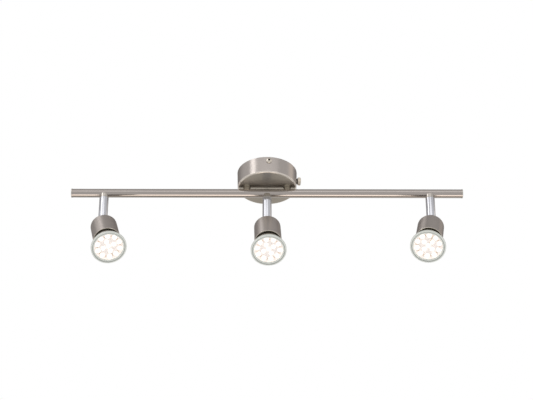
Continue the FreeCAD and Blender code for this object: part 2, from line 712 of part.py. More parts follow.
def write_parts():
    os.makedirs("parts", exist_ok=True)
    save("ceiling_bracket", ceiling_bracket())
    save("canopy_cover", canopy_cover())
    save("canopy_side_screws", *canopy_side_screws())
    save("canopy_thumb_screw", canopy_thumb_screw())
    save("terminal_block", terminal_block())
    save("terminal_screws", *terminal_screws())
    save("earth_screw", earth_screw())
    save("wiring_live", live_lead())
    save("wiring_neutral", neutral_lead())
    save("wiring_earth", earth_lead())
    save("bar_tube", bar_tube())
    save("bar_end_plug_left", bar_end_plug(-1))
    save("bar_end_plug_right", bar_end_plug(1))
    save("bar_post_left", bar_post(-POST_X))
    save("bar_post_right", bar_post(POST_X))
    save("post_nipples", *post_nipples())
    save("post_nuts", *post_nuts())
    inserts = [bar_insert(x, -1) for x in ARM_STATIONS] + [bar_insert(x, 1) for x in (-POST_X, POST_X)]
    save("bar_tube_inserts", *inserts)
    save("swivel_saddles", *[swivel_saddle(x) for x in ARM_STATIONS])
    save("swivel_nipples", *[swivel_nipple(x) for x in ARM_STATIONS])
    save("swivel_nuts", *[swivel_nut(x) for x in ARM_STATIONS])
    for name, head in HEADS.items():
        save("arm_tube_" + name, on_arm(arm_tube(), head))
        save("arm_fork_" + name, on_arm(arm_fork(), head))
        save("hinge_screw_" + name, on_arm(hinge_screw(), head))
        save("hinge_tongue_" + name, on_head(hinge_tongue(), head))
        save("tongue_nut_" + name, on_head(tongue_nut(), head))
        save("head_shell_" + name, on_head(head_shell(), head))
        save("lamp_holder_" + name, in_head(lamp_holder(), head))
        save("bulb_cup_" + name, in_head(bulb_cup(), head))
        save("bulb_base_" + name, in_head(bulb_base(), head))
        save("bulb_pins_" + name, *[in_head(pin, head) for pin in bulb_pins()])
        save("led_board_" + name, in_head(led_board(), head))
        save("led_chips_" + name, *[in_head(chip, head) for chip in led_chips()])
        save("bulb_cover_" + name, in_head(bulb_cover(), head))


write_parts()
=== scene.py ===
import json
import math

import bpy
from mathutils import Matrix, Quaternion, Vector


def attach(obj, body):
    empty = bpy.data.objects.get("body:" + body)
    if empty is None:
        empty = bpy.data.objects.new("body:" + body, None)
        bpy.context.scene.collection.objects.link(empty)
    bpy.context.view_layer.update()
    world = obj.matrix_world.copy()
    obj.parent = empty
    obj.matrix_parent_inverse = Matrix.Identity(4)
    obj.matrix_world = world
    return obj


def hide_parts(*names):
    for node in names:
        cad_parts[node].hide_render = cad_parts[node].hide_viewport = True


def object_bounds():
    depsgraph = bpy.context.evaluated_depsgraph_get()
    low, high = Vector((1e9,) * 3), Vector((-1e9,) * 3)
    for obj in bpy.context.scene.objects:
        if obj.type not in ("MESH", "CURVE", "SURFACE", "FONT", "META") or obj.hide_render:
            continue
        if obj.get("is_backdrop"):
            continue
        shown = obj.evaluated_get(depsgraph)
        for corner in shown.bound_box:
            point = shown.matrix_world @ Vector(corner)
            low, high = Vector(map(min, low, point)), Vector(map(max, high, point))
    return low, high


# Looks of the three-lamp ceiling spot bar. Metres, +Z up, the ceiling plane at z = 0, the bar
# along X and the front towards -Y.

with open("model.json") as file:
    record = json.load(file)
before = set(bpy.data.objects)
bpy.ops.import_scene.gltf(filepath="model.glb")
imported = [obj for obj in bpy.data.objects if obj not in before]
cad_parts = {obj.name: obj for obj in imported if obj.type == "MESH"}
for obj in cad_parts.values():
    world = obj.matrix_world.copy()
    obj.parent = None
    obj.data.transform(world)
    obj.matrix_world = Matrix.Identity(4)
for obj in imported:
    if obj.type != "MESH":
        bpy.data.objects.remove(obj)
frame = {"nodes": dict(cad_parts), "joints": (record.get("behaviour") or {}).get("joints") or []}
cad_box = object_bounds()
scene = bpy.context.scene
joints = {joint["name"]: joint for joint in frame["joints"]}

SIDES = ("left", "centre", "right")
MM = 0.001
TINY = 1e-6  # less than this counts as nothing

# ---- View ----
LENS_MM = 117.7
SENSOR_MM = 36.0
CAMERA_DISTANCE = 2.506
CAMERA_BELOW = math.radians(33.13)
CAMERA_AIM = Vector((-0.0008, 0.0, -0.0457))
CAMERA_ROLL = math.radians(0.1)
FLOOR_Z = -2.35
FLOOR_R = 30.0

# ---- Fine shape details, in metres ----
ROUND = 72  # segments round a small turned piece
ROUND_LARGE = 160  # segments round a large one
SHARP = math.radians(35.0)  # an edge that turns more than this stays sharp
BLEND = 0.3 * MM  # radius of an edge that is only broken
CANOPY_TAPER = 0.6 * MM
CANOPY_WALL = 1.0 * MM
CANOPY_EDGE = 2.0 * MM
SHELL_TAPER = 0.45 * MM
SHELL_WALL = 1.2 * MM
SHELL_BACK_WALL = 1.5 * MM
SHELL_EDGE = 2.5 * MM
STUD_HOLE_R = 3.05 * MM  # in a head's back and in an arm's top
POST_BORE_R = 3.1 * MM  # through posts and saddles
POST_FOOT = 3.0 * MM  # how low a post reaches beside the bar, over the bar's axis
BAR_WALL = 1.0 * MM
BAR_BREAK = 0.1 * MM
ARM_BORE_R = 4.8 * MM
ARM_TOP = 4.0 * MM  # depth of the solid top that the nipple goes through
PLUG_FLANGE = 2.0 * MM
PLUG_STEP = 1.3 * MM  # flange past spigot
KNOB_STEM_R = 2.0 * MM
KNOB_NECK = 1.2 * MM
KNURLS = 30
KNURL_DEPTH = 0.35 * MM
CHIP_HALF = 2.5 * MM
GLOW_R = 2.9 * MM  # round each chip the board is as bright as the chip
GLOW_FADE = 1.3 * MM
GLOW_BESIDE = 0.95  # emission of the board beside a chip
GLOW_AWAY = 0.39
COPPER_WIDTH = 0.9 * MM
COPPER_THICK = 0.12 * MM
COPPER_NEAR = 14.4 * MM  # from the lamp's axis
COPPER_FAR = 17.4 * MM
COPPER_LONG_NEAR = 4.0 * MM
LONG_COPPER = {"left": 0, "centre": None, "right": 7}  # which strip is the long one
# Lamp glass zones, as parts of the rim's radius. Between STEP_FROM and STEP_TO the glass is painted darker,
# as painted shade in the rim's groove.
INNER_TO = 0.81
STEP_FROM = 0.88
STEP_TO = 0.93


# ---- Mesh helpers ----
def add_piece(name, vertices, faces, zones=None):
    """A smooth-shaded mesh object with its sharp edges kept. zones holds a material number a face."""
    mesh = bpy.data.meshes.new(name)
    mesh.from_pydata(vertices, [], faces)
    mesh.polygons.foreach_set("use_smooth", [True] * len(mesh.polygons))
    if zones:
        mesh.polygons.foreach_set("material_index", zones)
    mesh.set_sharp_from_angle(angle=SHARP)
    mesh.update()
    piece = bpy.data.objects.new(name, mesh)
    scene.collection.objects.link(piece)
    weighted = piece.modifiers.new("weighted", "WEIGHTED_NORMAL")
    weighted.keep_sharp = True
    return piece


def rounded(corners, steps=5):
    """An outline of (radius, height) points from corners of (radius, height, fillet)."""
    outline = []
    count = len(corners)
    for i, (r, z, fillet) in enumerate(corners):
        here = Vector((r, z))
        if fillet <= 0 or i in (0, count - 1):
            outline.append((r, z))
            continue
        back = (Vector(corners[i - 1][:2]) - here).normalized()
        ahead = (Vector(corners[i + 1][:2]) - here).normalized()
        half = back.angle(ahead) / 2
        trim = fillet / math.tan(half)
        centre = here + (back + ahead).normalized() * (fillet / math.sin(half))
        start = here + back * trim - centre
        turn = (here + ahead * trim - centre).angle_signed(start)
        for step in range(steps + 1):
            point = centre + Matrix.Rotation(turn * step / steps, 2) @ start
            outline.append((point.x, point.y))
    return outline


def turned(name, outline, segments=ROUND, closed=False, zone_of=None, ripple=None):
    """A piece turned about Z from an outline of (radius, height) points.

    The outline runs with the solid on its left when it goes up the outside. A point on the axis
    is one vertex. A closed outline joins its end to its start. ripple(angle, r, z) changes r.
    """
    vertices = []
    rings = []
    for r, z in outline:
        if r < TINY:
            rings.append([len(vertices)] * segments)
            vertices.append((0.0, 0.0, z))
            continue
        rings.append(list(range(len(vertices), len(vertices) + segments)))
        for i in range(segments):
            angle = 2 * math.pi * i / segments
            radius = ripple(angle, r, z) if ripple else r
            vertices.append((radius * math.cos(angle), radius * math.sin(angle), z))
    faces = []
    zones = []
    pairs = list(zip(rings, rings[1:])) + ([(rings[-1], rings[0])] if closed else [])
    for k, (low, high) in enumerate(pairs):
        for i in range(segments):
            j = (i + 1) % segments
            loop = [low[i], low[j], high[j], high[i]]
            corners = [v for n, v in enumerate(loop) if v not in loop[:n]]
            if len(corners) > 2:
                faces.append(corners)
                zones.append(zone_of(k) if zone_of else 0)
    return add_piece(name, vertices, faces, zones=zones)


def place(piece, matrix, body, *nodes):
    """Put a piece in the row frame, ride it on a body and let it stand for CAD nodes."""
    piece.matrix_world = matrix
    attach(piece, body)
    if nodes:
        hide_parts(*nodes)


def finish_with(piece, *materials):
    for material in materials:
        piece.data.materials.append(material)
    return piece


def span(node, to_local=Matrix.Identity(4)):
    """Lowest and highest corner of a CAD node in a local frame."""
    points = [to_local @ vertex.co for vertex in frame["nodes"][node].data.vertices]
    low = Vector([min(p[i] for p in points) for i in range(3)])
    high = Vector([max(p[i] for p in points) for i in range(3)])
    return low, high


def axes_matrix(x_axis, z_axis, origin):
    """The frame with this origin, this Z axis and an X axis as near as can be to the one given."""
    z_axis = Vector(z_axis).normalized()
    y_axis = z_axis.cross(Vector(x_axis)).normalized()
    x_axis = y_axis.cross(z_axis)
    rotation = Matrix((x_axis, y_axis, z_axis)).transposed().to_4x4()
    return Matrix.Translation(Vector(origin)) @ rotation


# ---- Material helpers ----
class Nodes:
    """Short calls for building one node tree."""

    def __init__(self, name):
        self.material = bpy.data.materials.new(name)
        self.material.use_nodes = True
        self.tree = self.material.node_tree
        self.tree.nodes.clear()
        output = self.tree.nodes.new("ShaderNodeOutputMaterial")
        self.shader = self.tree.nodes.new("ShaderNodeBsdfPrincipled")
        self.link(self.shader.outputs["BSDF"], output.inputs["Surface"])
        self.coords = self.tree.nodes.new("ShaderNodeTexCoord").outputs["Object"]

    def link(self, source, target):
        self.tree.links.new(source, target)

    def set(self, **values):
        for name, value in values.items():
            self.shader.inputs[name.replace("_", " ")].default_value = value
        return self

    def maths(self, operation, one, two=None):
        node = self.tree.nodes.new("ShaderNodeMath")
        node.operation = operation
        for socket, value in zip(node.inputs, (one, two)):
            if value is None:
                continue
            if isinstance(value, (int, float)):
                socket.default_value = value
            else:
                self.link(value, socket)
        return node.outputs[0]

    def mixed(self, one, two, share):
        """The first value at this share, and the second for the rest."""
        return self.maths("ADD", self.maths("MULTIPLY", one, share), self.maths("MULTIPLY", two, 1 - share))

    def stretched(self, scale):
        node = self.tree.nodes.new("ShaderNodeMapping")
        node.inputs["Scale"].default_value = scale
        self.link(self.coords, node.inputs["Vector"])
        return node.outputs[0]

    def ring_coords(self, along, across):
        """Coordinates whose noise runs in rings round local Z, on walls and on flat ends alike."""
        split = self.tree.nodes.new("ShaderNodeSeparateXYZ")
        self.link(self.coords, split.inputs[0])
        squares = self.maths("ADD", self.maths("MULTIPLY", split.outputs["X"], split.outputs["X"]),
                             self.maths("MULTIPLY", split.outputs["Y"], split.outputs["Y"]))
        depth = self.maths("ADD", self.maths("SQRT", squares), split.outputs["Z"])
        join = self.tree.nodes.new("ShaderNodeCombineXYZ")
        self.link(self.maths("MULTIPLY", split.outputs["X"], along), join.inputs["X"])
        self.link(self.maths("MULTIPLY", split.outputs["Y"], along), join.inputs["Y"])
        self.link(self.maths("MULTIPLY", depth, across), join.inputs["Z"])
        return join.outputs[0]

    def noise(self, vector, detail=3.0, roughness=0.6):
        """Noise whose scale is already in the coordinates."""
        node = self.tree.nodes.new("ShaderNodeTexNoise")
        node.inputs["Scale"].default_value = 1.0
        node.inputs["Detail"].default_value = detail
        node.inputs["Roughness"].default_value = roughness
        self.link(vector, node.inputs["Vector"])
        return node.outputs["Fac"]

    def spread(self, value, low, high):
        """Map a noise value, which stays near 0.5, onto a range."""
        node = self.tree.nodes.new("ShaderNodeMapRange")
        node.inputs["From Min"].default_value = 0.25
        node.inputs["From Max"].default_value = 0.75
        node.inputs["To Min"].default_value = low
        node.inputs["To Max"].default_value = high
        self.link(value, node.inputs["Value"])
        return node.outputs[0]

    def blend(self, factor, one, two):
        node = self.tree.nodes.new("ShaderNodeMix")
        node.data_type = "RGBA"
        self.link(factor, node.inputs[0])
        node.inputs[6].default_value = (*one, 1.0)
        node.inputs[7].default_value = (*two, 1.0)
        return node.outputs[2]

    def bump(self, height, strength, distance):
        node = self.tree.nodes.new("ShaderNodeBump")
        node.inputs["Strength"].default_value = strength
        node.inputs["Distance"].default_value = distance
        self.link(height, node.inputs["Height"])
        self.link(node.outputs[0], self.shader.inputs["Normal"])

    def feed(self, **sources):
        for name, source in sources.items():
            self.link(source, self.shader.inputs[name.replace("_", " ")])
        return self


# Fine and coarse grain, in noise cycles a metre along the grain and across it
RING_GRAIN = ((30.0, 9000.0), (8.0, 900.0))
LINE_GRAIN = ((20.0, 9000.0), (5.0, 900.0))
FINE_SHARE = 0.7  # fine grain against coarse
GRAIN_SHARE = 0.75  # grain against cloudiness, in the tone
GRAIN_ROUGH = 0.035  # how far the grain changes the roughness, each way


def shade(colour, factor):
    return tuple(min(1.0, c * factor) for c in colour)


def brushed(name, colour, roughness, grain, anisotropic=0.5):
    """Satin plating over a brushed metal. Grain is rings round Z or lines along X."""
    nodes = Nodes(name)
    if grain == "rings":
        layers = [nodes.ring_coords(along, across) for along, across in RING_GRAIN]
    else:
        layers = [nodes.stretched((along, across, across)) for along, across in LINE_GRAIN]
    fine = nodes.noise(layers[0], 4.0, 0.7)
    coarse = nodes.noise(layers[1], 3.0, 0.6)
    cloud = nodes.noise(nodes.stretched((45.0, 45.0, 45.0)), 3.0, 0.55)
    grain_mix = nodes.mixed(fine, coarse, FINE_SHARE)
    rough = nodes.maths("ADD", nodes.spread(grain_mix, roughness - GRAIN_ROUGH, roughness + GRAIN_ROUGH),
                        nodes.spread(cloud, -0.01, 0.02))
    tone = nodes.mixed(grain_mix, cloud, GRAIN_SHARE)
    tint = nodes.blend(nodes.spread(tone, 0.0, 1.0), shade(colour, 0.93), shade(colour, 1.06))
    nodes.feed(Base_Color=tint, Roughness=rough)
    nodes.bump(grain_mix, 0.07, 0.03 * MM)
    # A quarter turn, because a highlight spreads across the grain and not along it.
    nodes.set(Metallic=1.0, Anisotropic=anisotropic, Anisotropic_Rotation=0.25)
    tangent = nodes.tree.nodes.new("ShaderNodeTangent")
    tangent.direction_type = "RADIAL"
    tangent.axis = "Z" if grain == "rings" else "X"
    nodes.link(tangent.outputs[0], nodes.shader.inputs["Tangent"])
    return nodes.material


def polished(name, colour, roughness, haze=0.05):
    """Bright plating with faint smears and a slight orange peel."""
    nodes = Nodes(name)
    smear = nodes.noise(nodes.stretched((90.0, 90.0, 35.0)), 4.0, 0.6)
    peel = nodes.noise(nodes.stretched((700.0, 700.0, 700.0)), 2.0, 0.5)
    tint = nodes.blend(nodes.spread(smear, 0.0, 1.0), shade(colour, 0.95), shade(colour, 1.02))
    nodes.feed(Base_Color=tint, Roughness=nodes.spread(smear, roughness, roughness + haze))
    nodes.bump(peel, 0.05, 0.02 * MM)
    nodes.set(Metallic=1.0)
    return nodes.material


def plain(name, colour, roughness, grain_mm=0.6, speckle=0.05, **values):
    """A moulded, fired or coated surface with a fine uneven skin."""
    nodes = Nodes(name)
    frequency = 1.0 / (grain_mm * MM)
    skin = nodes.noise(nodes.stretched((frequency,) * 3), 3.0, 0.6)
    cloud = nodes.noise(nodes.stretched((70.0, 70.0, 70.0)), 2.0, 0.5)
    darker = shade(colour, 1 - speckle)
    lighter = shade(colour, 1 + speckle / 2)
    tint = nodes.blend(nodes.spread(cloud, 0.0, 1.0), darker, lighter)
    nodes.feed(Base_Color=tint, Roughness=nodes.spread(skin, max(0.02, roughness - 0.05), roughness + 0.08))
    nodes.bump(skin, 0.12, 0.02 * MM)
    return nodes.set(**values).material


NICKEL = (0.55, 0.515, 0.49)
CHROME = (0.73, 0.755, 0.81)

canopy_nickel = brushed("canopy_nickel", NICKEL, 0.31, "rings", 0.6)
# A darker, more olive copy of the canopy nickel for the downward face, as painted shade; the face is also
# spun a little differently.
canopy_face_shaded_nickel = brushed("canopy_face_shaded_nickel", (0.51, 0.48, 0.43), 0.32, "rings", 0.7)
# A brighter, smoother copy of the nickel on the edge fillets: a painted highlight line along the canopy's
# and the shells' edges.
edge_highlight_nickel = polished("edge_highlight_nickel", (0.92, 0.87, 0.80), 0.12)
bar_nickel = brushed("bar_nickel", NICKEL, 0.14, "lines", 0.0)
head_nickel = brushed("head_nickel", NICKEL, 0.32, "rings", 0.75)
arm_chrome = polished("arm_chrome", CHROME, 0.07, 0.04)
polished_nickel = polished("polished_nickel", (0.88, 0.83, 0.74), 0.09)
post_nickel = polished("post_nickel", (0.62, 0.58, 0.50), 0.20, 0.04)
knob_nickel = polished("knob_nickel", (0.86, 0.80, 0.70), 0.10, 0.05)
recess_shadow = polished("recess_shadow", (0.10, 0.09, 0.08), 0.35, 0.1)
saddle_nickel = polished("saddle_nickel", (0.62, 0.59, 0.55), 0.16)
zinc_steel = polished("zinc_steel", (0.60, 0.62, 0.66), 0.28, 0.12)
insert_steel = polished("insert_steel", (0.42, 0.42, 0.43), 0.35, 0.12)
terminal_brass = polished("terminal_brass", (0.72, 0.55, 0.28), 0.22, 0.1)
terminal_plastic = plain("terminal_plastic", (0.80, 0.80, 0.76), 0.42, 0.4)
live_insulation = plain("live_insulation", (0.20, 0.085, 0.035), 0.4, 0.5)
neutral_insulation = plain("neutral_insulation", (0.03, 0.11, 0.42), 0.4, 0.5)
holder_ceramic = plain("holder_ceramic", (0.82, 0.81, 0.77), 0.22, 0.9, IOR=1.52)
lamp_base_ceramic = plain("lamp_base_ceramic", (0.84, 0.83, 0.80), 0.30, 0.9, IOR=1.52)
lamp_pin_metal = polished("lamp_pin_metal", (0.66, 0.65, 0.63), 0.2, 0.1)
# The rim glass's faint emission is a painted glow that stands for the lamp's light inside the glass.
lamp_rim_glass = plain("lamp_rim_glass", (0.70, 0.735, 0.695), 0.12, 1.4, 0.05, IOR=1.5, Coat_Weight=0.5,
                       Emission_Color=(0.94, 1.0, 0.95, 1.0), Emission_Strength=0.08)
# A darker copy of the rim glass on the step inside the rim: painted shade in the groove.
lamp_rim_step_shade = plain("lamp_rim_step_shade", (0.46, 0.49, 0.46), 0.15, 1.4, 0.05, IOR=1.5)
lamp_back_glass = polished("lamp_back_glass", (0.30, 0.285, 0.22), 0.25, 0.06)
# The inner glass's emission is a painted glow that stands for the chips' light on the reflector.
lamp_inner = plain("lamp_inner", (0.90, 0.86, 0.83), 0.25, 1.0, 0.05,
                   Emission_Color=(1.0, 0.93, 0.88, 1.0), Emission_Strength=0.35)
cover_glass = plain("cover_glass", (0.98, 0.99, 0.98), 0.05, 1.5, 0.02, IOR=1.2, Transmission_Weight=1.0)
# The chip bodies' emission is a painted glow; the lit windows (led_lit) are the lamp's own light.
led_package = plain("led_package", (0.80, 0.76, 0.73), 0.4, 0.5, 0.05,
                    Emission_Color=(1.0, 0.95, 0.90, 1.0), Emission_Strength=0.60)
# The copper's emission is a painted glow that stands for the chips' light falling on it.
led_copper = plain("led_copper", (0.55, 0.38, 0.22), 0.35, 0.4, 0.1,
                   Emission_Color=(0.95, 0.74, 0.54, 1.0), Emission_Strength=0.22)
led_lit = plain("led_lit", (1.0, 0.97, 0.90), 0.4, 0.5, 0.03,
                Emission_Color=(1.0, 0.985, 0.95, 1.0), Emission_Strength=1.2)


def earth_insulation_material():
    """Green insulation with a yellow stripe that winds round the lead."""
    nodes = Nodes("earth_insulation")
    split = nodes.tree.nodes.new("ShaderNodeSeparateXYZ")
    nodes.link(nodes.coords, split.inputs[0])
    wind = nodes.maths("ADD", nodes.maths("MULTIPLY", split.outputs["Z"], 900.0),
                       nodes.maths("MULTIPLY", split.outputs["X"], 1400.0))
    stripe = nodes.maths("GREATER_THAN", nodes.maths("SINE", wind), 0.25)
    nodes.feed(Base_Color=nodes.blend(stripe, (0.05, 0.28, 0.05), (0.75, 0.62, 0.04)))
    skin = nodes.noise(nodes.stretched((2000.0,) * 3))
    nodes.feed(Roughness=nodes.spread(skin, 0.35, 0.5))
    nodes.bump(skin, 0.1, 0.02 * MM)
    return nodes.material


cad_finishes = {
    "ceiling_bracket": zinc_steel,
    "post_nipples": zinc_steel,
    "post_nuts": zinc_steel,
    "swivel_nipples": zinc_steel,
    "swivel_nuts": zinc_steel,
    "earth_screw": zinc_steel,
    "bar_tube_inserts": insert_steel,
    "terminal_block": terminal_plastic,
    "terminal_screws": terminal_brass,
    "wiring_live": live_insulation,
    "wiring_neutral": neutral_insulation,
    "wiring_earth": earth_insulation_material(),
}
for side in SIDES:
    cad_finishes["arm_fork_" + side] = arm_chrome
    cad_finishes["hinge_tongue_" + side] = arm_chrome
    cad_finishes["hinge_screw_" + side] = zinc_steel
    cad_finishes["tongue_nut_" + side] = zinc_steel
    cad_finishes["lamp_holder_" + side] = holder_ceramic
    cad_finishes["bulb_pins_" + side] = lamp_pin_metal
for node, material in cad_finishes.items():
    mesh = frame["nodes"][node].data
    mesh.materials.clear()
    mesh.materials.append(material)


# ---- Canopy ----
def make_canopy():
    low, high = span("canopy_cover")
    top_r = high.x
    bottom_r = top_r - CANOPY_TAPER
    floor = low.z + CANOPY_WALL
    inner_edge = CANOPY_EDGE - CANOPY_WALL
    outline = rounded([
        (0, low.z, 0),
        (bottom_r, low.z, CANOPY_EDGE),
        (top_r, 0, BLEND),
        (top_r - CANOPY_WALL, 0, BLEND),
        (bottom_r - CANOPY_WALL, floor, inner_edge),
        (0, floor, 0),
    ], 8)

    def zone_of(k):
        top = max(outline[k][1], outline[k + 1][1])
        # The downward face takes the darker face nickel, painted shade.
        if top < low.z + TINY:
            return 1
        # The edge fillet takes the brighter edge nickel, a painted highlight line.
        return 2 if top < low.z + CANOPY_EDGE and outline[k][0] > bottom_r - CANOPY_EDGE else 0

    canopy = turned("canopy", outline, ROUND_LARGE, zone_of=zone_of)
    finish_with(canopy, canopy_nickel, canopy_face_shaded_nickel, edge_highlight_nickel)
    place(canopy, Matrix.Identity(4), "mounting_bar", "canopy_cover")
    return top_r


def carved(piece, cutter):
    """The piece with the cutter taken out of it, as plain mesh."""
    cut = piece.modifiers.new("cut", "BOOLEAN")
    cut.operation = "DIFFERENCE"
    cut.solver = "EXACT"
    cut.material_mode = "TRANSFER"
    cut.object = cutter
    piece.modifiers.remove(piece.modifiers["weighted"])
    shape = piece.evaluated_get(bpy.context.evaluated_depsgraph_get())
    mesh = bpy.data.meshes.new_from_object(shape)
    piece.modifiers.clear()
    piece.data = mesh
    mesh.set_sharp_from_angle(angle=SHARP)
    bpy.data.objects.remove(cutter)
    piece.modifiers.new("weighted", "WEIGHTED_NORMAL").keep_sharp = True
    return piece


def cross_cutter(reach, half_width, low, high):
    """A cross-shaped prism along Z."""
    a, b = half_width, reach
    arm = [(a, -a), (b, -a), (b, a)]
    ring = []
    for quarter in range(4):
        turn = Matrix.Rotation(math.radians(90 * quarter), 2)
        ring += [tuple(turn @ Vector(corner)) for corner in arm]
    count = len(ring)
    # Tapered, as a driver recess is: narrower at its foot.
    vertices = [(x * 0.72, y * 0.72, low) for x, y in ring] + [(x, y, high) for x, y in ring]
    faces = [list(range(count))[::-1], list(range(count, 2 * count))]
    faces += [[i, (i + 1) % count, count + (i + 1) % count, count + i] for i in range(count)]
    return add_piece("cutter", vertices, faces)


def pan_head(name, radius, height):
    """A domed screw head with a cross recess, standing on z = 0."""
    crown = height * 0.62
    outline = rounded([
        (0, 0, 0),
        (radius, 0, BLEND / 2),
        (radius, height - crown, crown * 0.95),
        (radius * 0.5, height * 0.97, height * 1.2),
        (0, height, 0),
    ], 7)
    head = finish_with(turned(name, outline, ROUND), polished_nickel)
    cutter = cross_cutter(radius * 0.46, radius * 0.20, height * 0.25, height * 1.5)
    return carved(head, finish_with(cutter, recess_shadow))


def make_canopy_screws(canopy_r):
    """The two wall screws, a quarter turn each way round from the thumb screw."""
    thumb_axis = Vector(joints["thumb_screw_turn"]["axis"])
    low, high = span("canopy_side_screws")
    radius = (high.z - low.z) / 2
    middle_z = (high.z + low.z) / 2
    head_height = high.y - canopy_r
    for name, quarter in (("front", -90), ("back", 90)):
        axis = Matrix.Rotation(math.radians(quarter), 3, "Z") @ thumb_axis
        screw = pan_head("canopy_screw_" + name, radius, head_height)
        foot = axis * canopy_r + Vector((0, 0, middle_z))
        place(screw, axes_matrix((0, 0, 1), axis, foot), "mounting_bar", "canopy_side_screws")


def make_thumb_screw():
    turn = joints["thumb_screw_turn"]
    matrix = axes_matrix((0, 0, 1), turn["axis"], turn["pos_m"])
    low, high = span("canopy_thumb_screw", matrix.inverted())
    radius = high.x
    length = high.z
    knurl_low = KNOB_NECK + 0.5 * MM
    knurl_high = length - 0.9 * MM

    def ripple(angle, r, z):
        on_knurl = r > radius * 0.9 and knurl_low < z < knurl_high
        return r - KNURL_DEPTH * (0.5 + 0.5 * math.cos(KNURLS * angle)) if on_knurl else r

    outline = rounded([
        (0, low.z, 0),
        (KNOB_STEM_R, low.z, BLEND),
        (KNOB_STEM_R, 0, 0),
        (radius * 0.68, 0, 0),
        (radius * 0.68, KNOB_NECK, 0),
        (radius * 0.93, KNOB_NECK, BLEND),
        (radius * 0.93, knurl_low, 0),
        (radius, knurl_low + 0.2 * MM, 0),
        (radius, knurl_high - 0.2 * MM, 0),
        (radius * 0.93, knurl_high, 0),
        (radius * 0.80, length - 0.35 * MM, 0.5 * MM),
        (radius * 0.50, length - 0.05 * MM, 2.0 * MM),
        (0, length, 0),
    ])

    def zone_of(k):
        return 1 if 0 <= (outline[k][1] + outline[k + 1][1]) / 2 < KNOB_NECK + 0.1 * MM else 0

    knob = turned("canopy_thumb_knob", outline, KNURLS * 8, zone_of=zone_of, ripple=ripple)
    finish_with(knob, knob_nickel, recess_shadow)
    place(knob, matrix, "thumb_screw", "canopy_thumb_screw")


# ---- Bar ----
def make_bar():
    low, high = span("bar_tube")
    radius = (high.z - low.z) / 2
    centre = (high + low) / 2
    half = (high.x - low.x) / 2
    outline = [
        (radius - BAR_WALL, -half),
        (radius - BAR_BREAK, -half),
        (radius, -half + BAR_BREAK),
        (radius, half - BAR_BREAK),
        (radius - BAR_BREAK, half),
        (radius - BAR_WALL, half),
    ]
    bar = turned("bar", outline, ROUND, closed=True)
    matrix = axes_matrix((0, 0, 1), (1, 0, 0), centre)
    # The grain runs along the piece's own X, so the mesh is turned and not the object.
    bar.data.transform(matrix.to_3x3().to_4x4())
    finish_with(bar, bar_nickel)
    place(bar, Matrix.Translation(centre), "mounting_bar", "bar_tube")
    return radius, centre


def make_end_plugs(bar_centre):
    for side, sign in (("left", -1), ("right", 1)):
        node = "bar_end_plug_" + side
        low, high = span(node)
        radius = (high.z - low.z) / 2
        outer = high.x if sign > 0 else -low.x
        spigot = high.x - low.x - PLUG_FLANGE
        outline = rounded([
            (0, -spigot, 0),
            (radius - PLUG_STEP, -spigot, BLEND),
            (radius - PLUG_STEP, 0, 0),
            (radius, 0, 0.15 * MM),
            (radius, PLUG_FLANGE, 0.55 * MM),
            (radius * 0.72, PLUG_FLANGE, 0.4 * MM),
            (radius * 0.66, PLUG_FLANGE - 0.35 * MM, 0.4 * MM),
            (0, PLUG_FLANGE - 0.35 * MM, 0),
        ])
        plug = turned("bar_plug_" + side, outline, ROUND)
        finish_with(plug, saddle_nickel)
        seat = Vector((sign * (outer - PLUG_FLANGE), 0, bar_centre.z))
        place(plug, axes_matrix((0, 0, 1), (sign, 0, 0), seat), "mounting_bar", node)


def coped_tube(name, radius, bore, flat_z, cut_z, bar_r, above):
    """A short tube at the origin, flat at flat_z and shaped to a bar along X through z = 0.

    Where the bar doesn't reach, the tube stops at cut_z. above says that it stands on the bar.
    """
    sign = 1 if above else -1
    broken = 0.25 * MM

    def saddle_height(r, angle):
        across = r * math.sin(angle)
        height = math.sqrt(max(0.0, bar_r ** 2 - across ** 2))
        return sign * max(height, abs(cut_z))

    # Radius and height of each ring, with no height where it follows the bar
    sections = [
        (radius - broken, flat_z),
        (radius, flat_z - sign * broken),
        (radius, None),
        (bore, None),
        (bore, flat_z),
    ]
    vertices = []
    rings = []
    for r, flat in sections:
        ring = []
        for i in range(ROUND):
            angle = 2 * math.pi * i / ROUND
            z = flat if flat is not None else saddle_height(r, angle)
            ring.append(len(vertices))
            vertices.append((r * math.cos(angle), r * math.sin(angle), z))
        rings.append(ring)
    faces = []
    for low, high in zip(rings, rings[1:] + rings[:1]):
        for i in range(ROUND):
            j = (i + 1) % ROUND
            face = [low[i], low[j], high[j], high[i]]
            faces.append(face[::-1] if above else face)
    return add_piece(name, vertices, faces)


def make_posts(bar_r, bar_centre):
    for side in ("left", "right"):
        node = "bar_post_" + side
        low, high = span(node)
        radius = (high.x - low.x) / 2
        x = (high.x + low.x) / 2
        post = coped_tube("post_" + side, radius, POST_BORE_R, high.z - bar_centre.z, POST_FOOT, bar_r, True)
        finish_with(post, post_nickel)
        place(post, Matrix.Translation((x, 0, bar_centre.z)), "mounting_bar", node)


def make_saddles(bar_r, bar_centre):
    low, high = span("swivel_saddles")
    radius = (high.y - low.y) / 2
    for side in SIDES:
        x = joints["swivel_" + side]["pos_m"][0]
        saddle = coped_tube("saddle_" + side, radius, POST_BORE_R, low.z - bar_centre.z,
                            high.z - bar_centre.z, bar_r, False)
        finish_with(saddle, saddle_nickel)
        place(saddle, Matrix.Translation((x, 0, bar_centre.z)), "mounting_bar", "swivel_saddles")


